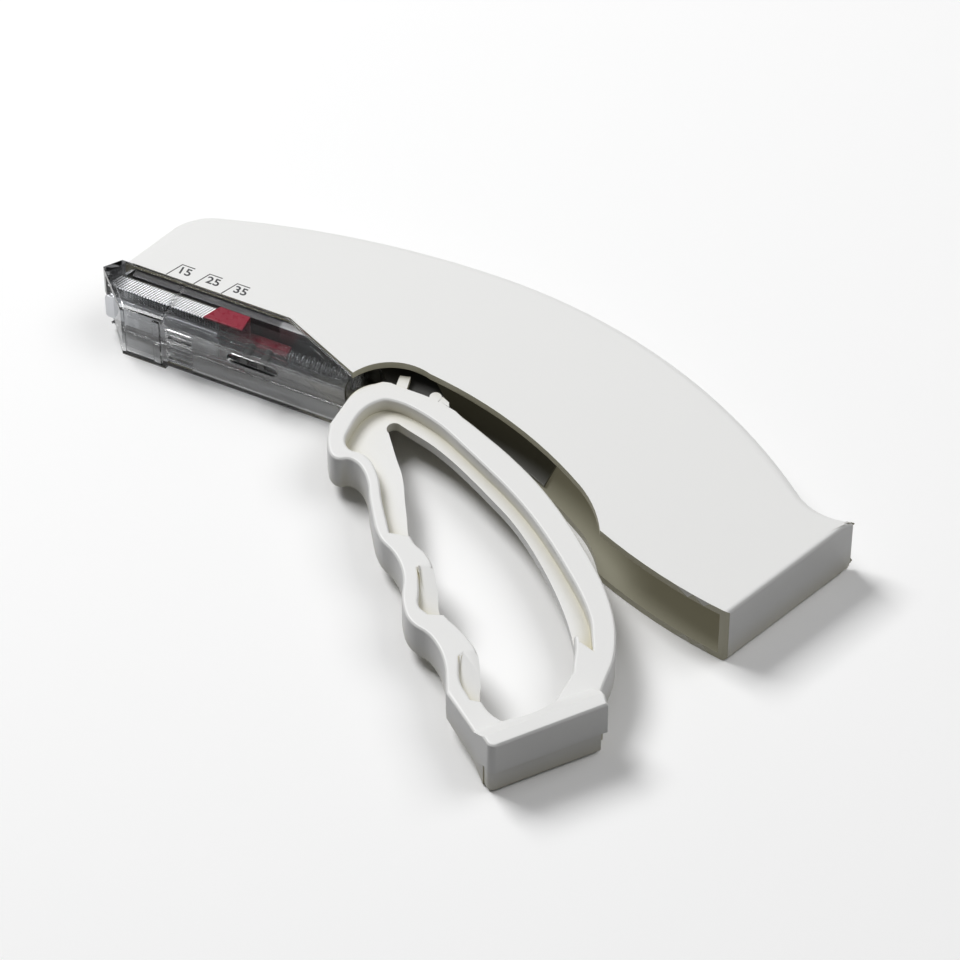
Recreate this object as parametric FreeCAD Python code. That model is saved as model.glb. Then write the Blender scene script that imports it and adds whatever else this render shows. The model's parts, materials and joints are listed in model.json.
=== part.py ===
import FreeCAD, Part
import math
import os

# Skin stapler lying on its side, in millimetres.
# While it is drawn, x = 0 is the crown of the staple in the chamber and x runs back along the
# staple track, y = 0 is the underside of the nose and y runs up to the housing's curved back,
# and z = 0 is the plane between the left half (+z) and the right half (-z).
# At the end every piece is moved so that the whole stapler stands centred on z = 0.

# Staples and their magazine
staple_count = 35
wire = 0.58                  # staple wire
staple_width = 12.6          # over both legs, before it is formed
leg_length = 4.4             # from the crown's outside to the tip
staple_lean = 64.0           # angle of the legs to the track, degrees
crown_height = 9.25          # crown of the staples above the nose's underside
wire_gap = 0.02              # between one staple and the next
slide_gap = 0.08             # running clearance of what slides on the rail
spring_channel = 4.2         # width of the channel in the rail
spring_channel_depth = 2.9
channel_front = 3.0
anvil_width = 6.6
anvil_thick = 0.7
track_cover_height = 1.8
sheet = 0.5                  # steel of the track cover

# Pusher and feed spring
pusher_length = 7.0
pusher_tail = 9.8
feed_coil = 3.5
feed_wire = 0.42
feed_turns = 12

# Housing
housing_width = 16.0
housing_wall = 1.8
rear_wall = 2.0
back_round = 2.6             # rounding along the housing's back
track_line = 11.75           # lower edge of the housing beside the track
front_rise = 13.4            # height of the housing's front edge above the track line
crest_height = 41.9
tail_reach = 109.8           # of the tail, behind the nose
rib = 1.6                    # ribs inside the housing
seam = 0.05                  # between parts that are put together

# Clear nose
cover_wall = 0.9
nose_length = 56.0           # from the chamber to the rear end of the nose
rail_overhang = 1.2          # of the rail, behind the nose
nose_width_low = 12.4        # across the underside
nose_width_mid = 14.2        # above its chamfer
nose_chamfer = 1.25
tip_width_low = 15.0
tip_length = 13.8            # wide tip, behind the chamber
pointer_height = 8.25
pointer_reach = (8.0, 6.4)    # of the left and right half, in front of the nose's lower corner
mouth_top = (7.3, 8.35)       # of the left and right half
base_width = 10.4
peg_radius = 0.9

# Steel frame, pivot and ram
frame_thick = 0.8
frame_length = 50.0
frame_top = 27.5
tongue_reach = 44.4          # tail of the frame plates in the bay, behind the nose
pivot = (34.2, 17.65)
pivot_radius = 2.0
bore_gap = 0.05              # radial clearance of a pin that turns
boss_radius = 4.6
lever_thick = 6.0
fork_width = 10.2
ram_stroke = 6.2
ram_length = 15.6
ram_width = 12.0
carrier_width = 7.6
link_radius = 1.0
rivet_radius = 0.9

# Trigger
trigger_angle = 14.0         # full squeeze, degrees
trigger_width = 9.6
web = 2.4                    # thin middle of the trigger's section
arc_flange = 4.6             # rim of the rear arc, in the plane of the trigger
grip_flange = 2.6            # rim of the finger grip
foot_width = 15.6
foot_depth = 3.0
foot_split = 9.2             # height of the foot's upper part
foot_step = 1.2              # inset of the lower part
foot_corner = 1.6            # rounding at the toe
foot_flare = 7.0             # where the sides have sloped down from the foot to the grip

# Return spring
return_coil = 6.0
return_wire = 0.7
return_turns = 7
return_x = 50.0
spring_ceiling = 34.0

rail_length = nose_length + rail_overhang
tongue_end = nose_length + tongue_reach
lean = math.radians(staple_lean)
along = (math.cos(lean), math.sin(lean))
pitch = (wire + wire_gap) / math.sin(lean) - wire_gap
housing_half = housing_width / 2
bay_half = housing_half - housing_wall
rail_half = staple_width / 2 - wire - slide_gap
crown_rise = wire / 2 * (along[0] + along[1])
rail_top = crown_height - crown_rise - slide_gap
leg_tip = crown_height - (leg_length - wire / 2) * math.sin(lean)
anvil_top = leg_tip - 0.06
base_top = anvil_top - anvil_thick - seam
cover_floor = cover_wall + seam
frame_outside = bay_half - seam
frame_inside = frame_outside - frame_thick
pusher_front = (staple_count - 0.5) * pitch + slide_gap
pusher_travel = (staple_count - 1) * pitch


def at(x, y, z=0.0):
    return FreeCAD.Vector(x, y, z)


def plane_x(y):
    """Place, along the track, of the leaning plane in which the ram and the front staple move."""
    return (y - crown_height) / math.tan(lean)


def line(a, b):
    return Part.LineSegment(at(*a), at(*b)).toShape()


def arc(a, via, b):
    return Part.Arc(at(*a), at(*via), at(*b)).toShape()


def smooth_arc(start, heading, end):
    """Arc that leaves its start at a heading (radians) and runs to its end, and its heading there."""
    chord = math.atan2(end[1] - start[1], end[0] - start[0])
    turn = math.remainder(chord - heading, 2 * math.pi)
    if abs(turn) < 0.001:
        return line(start, end), chord
    length = math.hypot(end[0] - start[0], end[1] - start[1])
    bulge = length / 2 * math.tan(turn / 2)
    via = ((start[0] + end[0]) / 2 + bulge * math.sin(chord), (start[1] + end[1]) / 2 - bulge * math.cos(chord))
    return arc(start, via, end), chord + turn


def flowing(points):
    """Round path through points: two tangent arcs from each point to the next."""
    last = len(points) - 1
    headings = []
    for i in range(last + 1):
        (x0, y0), (x1, y1) = points[max(i - 1, 0)], points[min(i + 1, last)]
        headings.append(math.atan2(y1 - y0, x1 - x0))
    edges = []
    for i in range(last):
        (x0, y0), (x1, y1) = points[i], points[i + 1]
        ax, ay = math.cos(headings[i]), math.sin(headings[i])
        bx, by = math.cos(headings[i + 1]), math.sin(headings[i + 1])
        run = (x1 - x0) * (ax + bx) + (y1 - y0) * (ay + by)
        open_angle = 2 * (1 - ax * bx - ay * by)
        square = (x1 - x0) ** 2 + (y1 - y0) ** 2
        reach = square / (2 * run)
        if open_angle > 0.0001:
            reach = (math.sqrt(run ** 2 + open_angle * square) - run) / open_angle
        middle = ((x0 + x1 + reach * (ax - bx)) / 2, (y0 + y1 + reach * (ay - by)) / 2)
        first, heading = smooth_arc(points[i], headings[i], middle)
        second, _ = smooth_arc(middle, heading, points[i + 1])
        edges += [first, second]
    return edges


def rounded_corner(a, corner, b, radius):
    """Lines from a and from b to a corner, joined by an arc."""
    ways = []
    for point in (a, b):
        length = math.hypot(point[0] - corner[0], point[1] - corner[1])
        ways.append(((point[0] - corner[0]) / length, (point[1] - corner[1]) / length))
    (ax, ay), (bx, by) = ways
    half_angle = math.acos(ax * bx + ay * by) / 2
    reach = radius / math.tan(half_angle)
    depth = (radius / math.sin(half_angle) - radius) / math.hypot(ax + bx, ay + by)
    start = (corner[0] + ax * reach, corner[1] + ay * reach)
    end = (corner[0] + bx * reach, corner[1] + by * reach)
    via = (corner[0] + (ax + bx) * depth, corner[1] + (ay + by) * depth)
    return [line(a, start), arc(start, via, end), line(end, b)]


def polygon(points):
    return Part.makePolygon([at(*p) for p in points] + [at(*points[0])])


def plate(wire_or_edges, z0, z1):
    """Solid between two heights from a closed outline in the x, y plane."""
    outline = wire_or_edges
    if isinstance(outline, list):
        outline = Part.Wire(Part.__sortEdges__(outline))
    face = Part.Face(outline)
    face.translate(at(0, 0, z0))
    return face.extrude(at(0, 0, z1 - z0))


def slab(points, half):
    return plate(polygon(points), -half, half)


def block(x0, x1, y0, y1, z0, z1):
    return Part.makeBox(x1 - x0, y1 - y0, z1 - z0, at(x0, y0, z0))


def pin(x, y, radius, z0, z1):
    return Part.makeCylinder(radius, z1 - z0, at(x, y, z0))


def inset(points, distance):
    """The same path moved to its left by a distance."""
    moved = []
    for i, (x, y) in enumerate(points):
        x0, y0 = points[max(i - 1, 0)]
        x1, y1 = points[min(i + 1, len(points) - 1)]
        length = math.hypot(x1 - x0, y1 - y0)
        moved.append((x - (y1 - y0) / length * distance, y + (x1 - x0) / length * distance))
    return moved


def mirrored(shape):
    return shape.mirror(at(0, 0, 0), at(0, 0, 1))


def both_sides(shape):
    return shape.fuse(mirrored(shape))


def flat_face(corners):
    return Part.Face(Part.makePolygon(list(corners) + [corners[0]]))


def coil(radius, wire_size, length, turns):
    """Spring along z from 0, of square wire with flat sides, its first and last turns closed."""
    sides = 8
    closed = wire_size + 0.08
    free = (length - wire_size - 2 * closed) / (turns - 2)
    rings = []
    for k in range(sides * turns + 1):
        done = k / sides
        low = (closed * (min(done, 1) + max(done - turns + 1, 0))
               + free * min(max(done - 1, 0), turns - 2))
        high = low + wire_size
        turn = 2 * math.pi * done
        profile = ((radius - wire_size, low), (radius, low), (radius, high), (radius - wire_size, high))
        rings.append([at(r * math.cos(turn), r * math.sin(turn), z) for r, z in profile])
    faces = [flat_face(rings[0]), flat_face(rings[-1])]
    for a, b in zip(rings, rings[1:]):
        faces += [flat_face((a[1], a[2], b[2], b[1])), flat_face((a[3], a[0], b[0], b[3]))]
        for i, j in ((0, 1), (2, 3)):
            faces += [flat_face((a[i], a[j], b[j])), flat_face((a[i], b[j], b[i]))]
    return Part.Solid(Part.Shell(faces))


def staple_at(x):
    """One open staple: a U in a leaning plane, its crown across the track."""
    half = staple_width / 2
    corner = wire * 0.6
    top = wire / 2
    tip = top - leg_length
    outline = [(-half, tip), (-half, top - corner), (-half + corner, top), (half - corner, top),
               (half, top - corner), (half, tip), (half - wire, tip), (half - wire, -wire / 2),
               (wire - half, -wire / 2), (wire - half, tip)]
    corners = []
    for across, up in outline:
        corners.append(at(up * along[0], up * along[1], across))
    face = Part.Face(Part.makePolygon(corners + [corners[0]]))
    normal = at(along[1], -along[0], 0)
    face.translate(normal * (-wire / 2))
    body = face.extrude(normal * wire)
    body.translate(at(x, crown_height, 0))
    return body


def behind_nose(*places):
    """Points given by their distance behind the nose's rear end and their height."""
    return [(nose_length + x, y) for x, y in places]


# Outline of the housing: front edge, back, flared tail, rear face, lower rim and nose cut.
[crest] = behind_nose((17.0, crest_height))
tail_top, tail_bottom, tail_middle = behind_nose((tail_reach, 11.4), (tail_reach - 14.0, -22.3),
                                                 (tail_reach - 29.8, -19.1))
front_low = (plane_x(track_line) - 2.6, track_line)
front_high = (front_low[0] + front_rise * 0.36, track_line + front_rise)
shoulder = (front_high[0] + 7.4, front_high[1] + 6.8)
back_end = (tail_top[0] - 13.4, tail_top[1] + 1.9)
arch_front = (nose_length + 0.25, 3.6)
cut_top = (nose_length - 18.2, track_line)
arch_middle, arch_rear, rim_middle = behind_nose((6.6, 9.7), (15.0, 10.0), (36.5, 4.9))
rim_step, step_middle, rim_low = behind_nose((55.4, -4.4), (60.9, -9.2), (63.9, -13.5))


def back_edges():
    """Front edge, rounded shoulder, long back and the tail that flares out again."""
    front_back, heading = smooth_arc(crest, math.pi, shoulder)
    round_front, _ = smooth_arc(shoulder, heading, front_high)
    rear_back, heading = smooth_arc(crest, 0.0, back_end)
    tail, _ = smooth_arc(back_end, heading, tail_top)
    return [line(front_low, front_high), round_front, front_back, rear_back, tail]


def rim_edges():
    """Lower rim: tail, step down to the trigger's bay, the arch over the knuckle, nose cut."""
    return [line(tail_top, tail_bottom),
            arc(tail_bottom, tail_middle, rim_low),
            arc(rim_low, step_middle, rim_step),
            arc(rim_step, rim_middle, arch_rear),
            arc(arch_rear, arch_middle, arch_front),
            line(arch_front, cut_top),
            line(cut_top, front_low)]


def rounded_back(solid, half, radius):
    """Rounds the edges of a plate that run along the back, on both faces."""
    picked = []
    back = Part.Compound(back_edges())
    for edge in solid.Edges:
        middle = edge.valueAt((edge.FirstParameter + edge.LastParameter) / 2)
        if abs(abs(middle.z) - half) > 0.001:
            continue
        spot = Part.Vertex(at(middle.x, middle.y, 0))
        if back.distToShape(spot)[0] < 0.001:
            picked.append(edge)
    return solid.makeFillet(radius, picked)


def make_housing():
    outer = plate(back_edges() + rim_edges(), -housing_half, housing_half)
    outer = rounded_back(outer, housing_half, back_round)
    # The cavity has the same back, moved in by one wall, and runs out through the open underside.
    reach = 40.0
    slope = (tail_top[0] - tail_bottom[0]) / (tail_top[1] - tail_bottom[1])
    deep_tail = (tail_bottom[0] - reach * slope, tail_bottom[1] - reach)
    deep_front = (front_low[0] - reach * 0.36, front_low[1] - reach)
    below = [line(tail_top, deep_tail), line(deep_tail, deep_front), line(deep_front, front_low)]
    face = Part.Face(Part.Wire(Part.__sortEdges__(back_edges() + below)))
    inner = face.makeOffset2D(-housing_wall)
    inner.translate(at(0, 0, -bay_half))
    cavity = inner.extrude(at(0, 0, 2 * bay_half))
    # Ribs that stand down from the back: over the frame, over the return spring, and a partition.
    post = return_coil / 2 + 1
    ribs = [block(30.0, 30.0 + rib, frame_top + seam, crest[1] + 1, -bay_half, bay_half),
            block(return_x - post, return_x + post, spring_ceiling, crest[1] + 1, -post, post),
            block(tongue_end + 0.6, tongue_end + 0.6 + rib, 17.0, crest[1] + 1, -bay_half, bay_half)]
    return outer.cut(cavity.cut(ribs))


def nose_line(y, reach=pointer_reach[0]):
    """Front face of the nose: from the pointer's tip down and back to the underside."""
    return 3.6 - reach * y / pointer_height


def cover_section(low, mid, top, low_y, chamfer_y):
    """Half cross-section of the nose, as (y, z) points."""
    return [(low_y, 0), (low_y, low / 2), (chamfer_y, mid / 2), (track_line + 3, top / 2), (track_line + 3, 0)]


def section_prism(section, x0, x1):
    wire_points = [at(x0, y, z) for y, z in section]
    face = Part.Face(Part.makePolygon(wire_points + [wire_points[0]]))
    return face.extrude(at(x1 - x0, 0, 0))


def cover_half(reach, mouth):
    """Clear left half of the nose: a thin wall that follows the housing's lower edge."""
    top = track_line - seam
    head = (plane_x(track_line) - 2.8, top)
    outline = [(nose_line(pointer_height, reach), pointer_height), head, (cut_top[0], top),
               (nose_length, arch_front[1]), (nose_length, 0), (nose_line(0), 0)]
    full = housing_width - 2 * seam
    wide = cover_section(tip_width_low, full, full, 0, nose_chamfer)
    slim = cover_section(nose_width_low, nose_width_mid, full, 0, nose_chamfer)
    solid = plate(polygon(outline), 0, housing_half + 1)
    far = nose_length + 5
    outer = solid.common(section_prism(wide, -10, tip_length).fuse(section_prism(slim, tip_length - 1, far)))
    thin = cover_wall
    grow = 2 * thin
    hollow = [(nose_line(pointer_height, reach) + 1.6, pointer_height), (head[0] + 1.2, top + 1),
              (nose_length + 1, top + 1), (nose_length + 1, thin), (nose_line(thin, reach) + 1.3, thin)]
    wide_in = cover_section(tip_width_low - grow, full - grow, full - grow, thin, nose_chamfer + thin / 2)
    slim_in = cover_section(nose_width_low - grow, nose_width_mid - grow, full - grow,
                            thin, nose_chamfer + thin / 2)
    room = plate(polygon(hollow), -1, housing_half + 1)
    room = room.common(section_prism(wide_in, -10, tip_length - thin).fuse(
        section_prism(slim_in, tip_length - thin - 1, far + 2)))
    half = outer.cut(room)
    # Mouth between the two cheeks, through which the staple leaves.
    mouth_half = staple_width / 2 + 0.15
    half = half.cut(block(-8, nose_line(0) + 0.8, -1, mouth, -1, mouth_half))
    # Cross bar and three short slots in the floor behind the mouth.
    bar = block(tip_length - 2.4, tip_length - 0.8, -0.5, 0.2, 0, tip_width_low / 2 - 0.6)
    half = half.fuse(bar)
    for k in range(3):
        z = 0.9 + 1.7 * k
        half = half.cut(block(tip_length + 0.4, tip_length + 6.4, -0.1, thin + 0.1, z, z + 0.8))
    return half


def peg_places():
    return [(nose_length - 23.6, 3.4), (nose_length - 19.6, 3.4)]


def make_covers():
    left = cover_half(pointer_reach[0], mouth_top[0])
    right = mirrored(cover_half(pointer_reach[1], mouth_top[1]))
    left.translate(at(0, 0, seam / 2))
    right.translate(at(0, 0, -seam / 2))
    # The left half has the slot in which the two pegs of the magazine show.
    (x0, z), (x1, _) = peg_places()
    for x in (x0 - 2.4, x1 + 2.6):
        left = left.cut(Part.makeCylinder(1.4, 2 * cover_wall, at(x, -0.3, z), at(0, 1, 0)))
    left = left.cut(block(x0 - 2.4, x1 + 2.6, -0.3, cover_wall + 0.1, z - 1.4, z + 1.4))
    return left, right


def make_base():
    """Clear tray under the anvil: a deck on two side walls, cut back at the mouth."""
    half = base_width / 2
    outline = [(nose_line(cover_floor) + 0.5, cover_floor), (nose_line(base_top) + 0.5, base_top),
               (nose_length - 1, base_top), (nose_length - 1, cover_floor)]
    tray = slab(outline, half)
    tray = tray.cut(block(nose_line(0) + 1.5, nose_length, 0, base_top - 1.0, -half + 0.8, half - 0.8))
    for x, z in peg_places():
        tray = tray.cut(Part.makeCylinder(peg_radius + 0.02, 8, at(x, 0, z), at(0, 1, 0)))
    return tray


def make_pegs():
    pegs = []
    for x, z in peg_places():
        pegs.append(Part.makeCylinder(peg_radius, base_top - 0.3, at(x, 0.3, z), at(0, 1, 0)))
    return Part.Compound(pegs)


def make_anvil():
    """Steel strip under the rail, whose front end is the lip that the staple is bent over."""
    lip = plane_x(anvil_top) - 0.75
    strip = block(lip, 24.0, anvil_top - anvil_thick, anvil_top, -anvil_width / 2, anvil_width / 2)
    front = [edge for edge in strip.Edges if abs(edge.CenterOfMass.x - lip) < 0.001 and edge.Length < 1]
    return strip.makeFillet(0.8, front)


def make_rail():
    """Clear bar on which the staples ride, with the channel for the pusher and its spring."""
    bottom = anvil_top + 0.04
    gap = wire / 2 / math.sin(lean) + 0.1
    outline = [(plane_x(bottom) + gap, bottom), (plane_x(rail_top) + gap, rail_top),
               (rail_length, rail_top), (rail_length, bottom)]
    rail = slab(outline, rail_half)
    keel = block(24.2, nose_length - 2, base_top, bottom, -anvil_width / 2, anvil_width / 2)
    channel = block(channel_front, rail_length - 1.5, rail_top - spring_channel_depth, rail_top + 1,
                    -spring_channel / 2, spring_channel / 2)
    return rail.fuse(keel).cut(channel)


def make_track_cover():
    """Folded steel channel that holds the row of staples down."""
    low = crown_height + crown_rise + slide_gap
    half = bay_half - seam
    x0 = plane_x(low + track_cover_height) + 0.6
    outside = block(x0, nose_length - 0.5, low, low + track_cover_height, -half, half)
    inside = block(x0 - 1, nose_length, low + sheet, low + 5, -half + sheet, half - sheet)
    return outside.cut(inside)


def make_frame():
    """Left plate of the steel frame; its front edge guides the ram."""
    gap = 0.45
    low = track_line + 0.1
    outline = [(plane_x(low) + gap, low), (plane_x(frame_top - 4) + gap, frame_top - 4),
               (plane_x(frame_top - 4) + gap + 3, frame_top), (pivot[0] + 6, frame_top),
               (frame_length, pivot[1] + 6), (tongue_end, rim_middle[1] + 9), (tongue_end, 2.6),
               (rim_middle[0], rim_middle[1] + 0.9), (nose_length + 25.5, 8.6), (arch_rear[0], arch_rear[1] + 0.8),
               (nose_length + 1, low)]
    side = plate(polygon(outline), frame_inside, frame_outside)
    side = side.cut(pin(pivot[0], pivot[1], pivot_radius, 0, housing_half))
    for x, y in rivet_places():
        side = side.cut(pin(x, y, rivet_radius, 0, housing_half))
    return side


def rivet_places():
    return [(pivot[0] - 13.0, frame_top - 1.8), (pivot[0] + 1.5, frame_top - 1.8)]


def make_rivets():
    return Part.Compound([pin(x, y, rivet_radius, -frame_outside, frame_outside)
                          for x, y in rivet_places()])


def link_place():
    """Link pin at rest: half the trigger's swing above the line through the pivot."""
    drop = ram_stroke * math.sin(lean)
    reach = drop / 2 / math.sin(math.radians(trigger_angle / 2))
    half_swing = math.radians(trigger_angle / 2)
    return (pivot[0] - reach * math.cos(half_swing), pivot[1] + drop / 2)


def make_ram():
    """Steel former plate: a notch lets its two tines pass the anvil."""
    half = ram_width / 2
    start = wire / 2 + 0.12
    notch = anvil_width / 2 + 0.15
    depth = 2.6
    outline = [(-half, start), (-notch, start), (-notch, start + depth), (notch, start + depth),
               (notch, start), (half, start), (half, ram_length - 2), (half - 2, ram_length),
               (2 - half, ram_length), (-half, ram_length - 2)]
    corners = [at(up * along[0], up * along[1] + crown_height, z) for z, up in outline]
    normal = at(along[1], -along[0], 0)
    face = Part.Face(Part.makePolygon(corners + [corners[0]]))
    face.translate(normal * (-wire / 2))
    return face.extrude(normal * wire)


def carrier_rivet_rows():
    x, y = link_place()
    return [y + 1.2, y - 1.2]


def make_carrier():
    """Plastic block behind the ram, with the slot in which the link pin slides."""
    x, y = link_place()
    travel = ram_stroke * math.cos(lean)
    low = y - link_radius - 1.2
    high = y + link_radius + 2.2
    gap = wire / 2 / math.sin(lean) + 0.02
    rear = x + travel + link_radius + 1.4
    body = slab([(plane_x(low) + gap, low), (rear, low), (rear, high - 1), (rear - 1, high),
                 (plane_x(high) + gap, high)], carrier_width / 2)
    size = link_radius + bore_gap
    slot = pin(x - 0.2, y, size, -9, 9).fuse([pin(x + travel + 0.2, y, size, -9, 9),
                                             block(x - 0.2, x + travel + 0.2, y - size, y + size, -9, 9)])
    return body.cut(slot)


def make_carrier_rivets():
    """Two rivet heads in front of the ram that hold it to its carrier."""
    heads = []
    normal = at(along[1], -along[0], 0)
    for y in carrier_rivet_rows():
        spot = at(plane_x(y), y, 0) + normal * (-wire / 2 - 0.3)
        heads.append(Part.makeCylinder(1.0, 0.3, spot, normal))
    return Part.Compound(heads)


def lever_tail():
    return behind_nose((7.6, 3.2), (20.4, 3.2), (21.2, 6.9), (14.0, 13.5), (4.0, 17.6)) + [
            (return_x + return_coil / 2 + 0.6, 20.4), (return_x - return_coil / 2 - 0.6, 20.4),
            (pivot[0] + 4, pivot[1] + 4.4), (pivot[0], pivot[1] + 4.4), (pivot[0], pivot[1] - 4.4),
            (pivot[0] + 4, pivot[1] - 4.6), (frame_length, track_line + 0.8),
            (rail_length + 1.3, track_line - 0.35), (rail_length + 4.3, 8.5)]


def make_lever():
    """Dark lever fixed in the trigger: it turns on the pivot and drives the ram with its fork."""
    x, y = link_place()
    lever = slab(lever_tail(), lever_thick / 2)
    boss_half = frame_inside - 0.1
    lever = lever.fuse(pin(pivot[0], pivot[1], boss_radius, -boss_half, boss_half))
    half = fork_width / 2
    eye = link_radius + 1.3
    arm = slab([(x, y - eye), (x + 4.5, y - eye), (pivot[0] - 10, pivot[1] - 0.4),
                (pivot[0] - 2, pivot[1] - 3.2), (pivot[0], pivot[1] + 4.2), (pivot[0] - 6, pivot[1] + 5.0),
                (x + 6, y + eye), (x, y + eye)], half)
    arm = arm.fuse(pin(x, y, eye, -half, half))
    travel = ram_stroke * math.cos(lean)
    slot_half = carrier_width / 2 + 0.15
    arm = arm.cut(block(x - 6, x + travel + link_radius + 2.4, y - 9, y + 9, -slot_half, slot_half))
    lever = lever.fuse(arm)
    lever = lever.cut(pin(pivot[0], pivot[1], pivot_radius + bore_gap, -9, 9))
    lever = lever.cut(pin(x, y, link_radius, -9, 9))
    for px, py in lever_pin_places():
        lever = lever.cut(pin(px, py, 0.8, -9, 9))
    return lever.removeSplitter()


def lever_pin_places():
    return behind_nose((10.2, 4.9), (17.8, 4.9))


def make_lever_pins():
    return Part.Compound([pin(x, y, 0.8, -lever_thick / 2 - 1.5, lever_thick / 2 + 1.5)
                          for x, y in lever_pin_places()])


# Outline of the trigger, as paths that run round it clockwise from the knuckle's front.
knuckle_front, knuckle_bend = behind_nose((1.0, 0.2), (2.9, 4.4))
arc_path = behind_nose((7.4, 6.8), (20.0, 6.0), (32.0, 0.9), (48.0, -7.6), (61.2, -17.4), (72.8, -28.5),
            (78.2, -38.0), (79.8, -48.6))
heel, toe = behind_nose((83.2, -53.0), (66.5, -72.6))
grip_path = behind_nose((51.8, -61.4), (48.0, -54.6), (43.4, -50.4), (37.4, -48.2), (34.0, -44.2), (31.3, -38.2),
             (28.0, -34.5), (22.4, -31.0), (17.5, -24.4), (13.4, -18.0), (9.4, -15.3), (5.2, -16.2),
             (2.3, -13.2), (0.5, -8.3))
web_path = behind_nose((72.6, -46.6), (69.3, -38.3), (60.1, -27.0), (47.2, -15.7), (34.8, -8.4), (23.1, -2.9),
            (12.8, 0.0))
finger_path = behind_nose((11.5, -3.0), (15.5, -8.1), (19.2, -12.6), (23.2, -19.6), (28.8, -28.6), (34.4, -32.0),
               (38.4, -37.0), (42.2, -43.0), (49.6, -47.0), (53.4, -50.0), (57.0, -56.2))
loop_apex, loop_corner, loop_low, loop_bend, loop_side = behind_nose(
    (10.6, -0.9), (60.6, -61.7), (64.9, -63.2), (70.4, -59.2), (72.3, -54.4))
# Pockets in the finger grip: edge along the rim, then corners in the open loop.
knuckle_pocket = behind_nose((11.4, -13.0), (6.2, -12.0), (4.9, -6.4), (5.9, -0.6), (9.4, 2.6))
middle_pocket = behind_nose((32.0, -32.9), (33.8, -35.8), (36.1, -40.5), (37.7, -43.9), (40.1, -45.0))
middle_side = behind_nose((45.5, -43.0), (46.0, -36.0), (36.0, -28.0))
low_pocket = behind_nose((49.2, -49.4), (50.7, -52.7), (53.1, -57.6), (56.9, -61.0))
low_side = behind_nose((60.5, -60.4), (62.0, -54.0), (53.0, -45.0))


def along_foot(s, w):
    """Place s from the toe along the foot's face and w in from it."""
    length = math.hypot(heel[0] - toe[0], heel[1] - toe[1])
    ux, uy = (heel[0] - toe[0]) / length, (heel[1] - toe[1]) / length
    return (toe[0] + ux * s - uy * w, toe[1] + uy * s + ux * w)


def slope(start, end, low, high, reach=30.0):
    """What lies above a floor that falls from high at start to low at end, for a ramp."""
    length = math.hypot(end[0] - start[0], end[1] - start[1])
    ux, uy = (end[0] - start[0]) / length, (end[1] - start[1]) / length
    profile = [(0, high), (length, low), (length + reach, low), (length + reach, high + 9), (0, high + 9)]
    side = at(uy, -ux, 0) * reach
    corners = [at(start[0] + ux * u, start[1] + uy * u, z) + side for u, z in profile]
    return Part.Face(Part.makePolygon(corners + [corners[0]])).extrude(side * -2)


def swung_back(point):
    """Where a point of the housing lies on the trigger at full squeeze."""
    turn = math.radians(-trigger_angle)
    x, y = point[0] - pivot[0], point[1] - pivot[1]
    return (pivot[0] + x * math.cos(turn) - y * math.sin(turn),
            pivot[1] + x * math.sin(turn) + y * math.cos(turn))


def trigger_outline():
    edges = [line(grip_path[-1], knuckle_front), arc(knuckle_front, knuckle_bend, arc_path[0]),
             line(arc_path[-1], heel)]
    return edges + flowing(arc_path) + rounded_corner(heel, toe, grip_path[0], foot_corner) + flowing(grip_path)


def loop_outline():
    edges = [arc(web_path[-1], loop_apex, finger_path[0]),
             arc(finger_path[-1], loop_corner, loop_low), arc(loop_low, loop_bend, loop_side),
             line(loop_side, web_path[0])]
    return edges + flowing(web_path) + flowing(finger_path)


def pocket(path, side):
    """Outline that follows the rim along path and closes through the open loop."""
    ends = [path[-1]] + side + [path[0]]
    return flowing(path) + [line(a, b) for a, b in zip(ends, ends[1:])]


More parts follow.
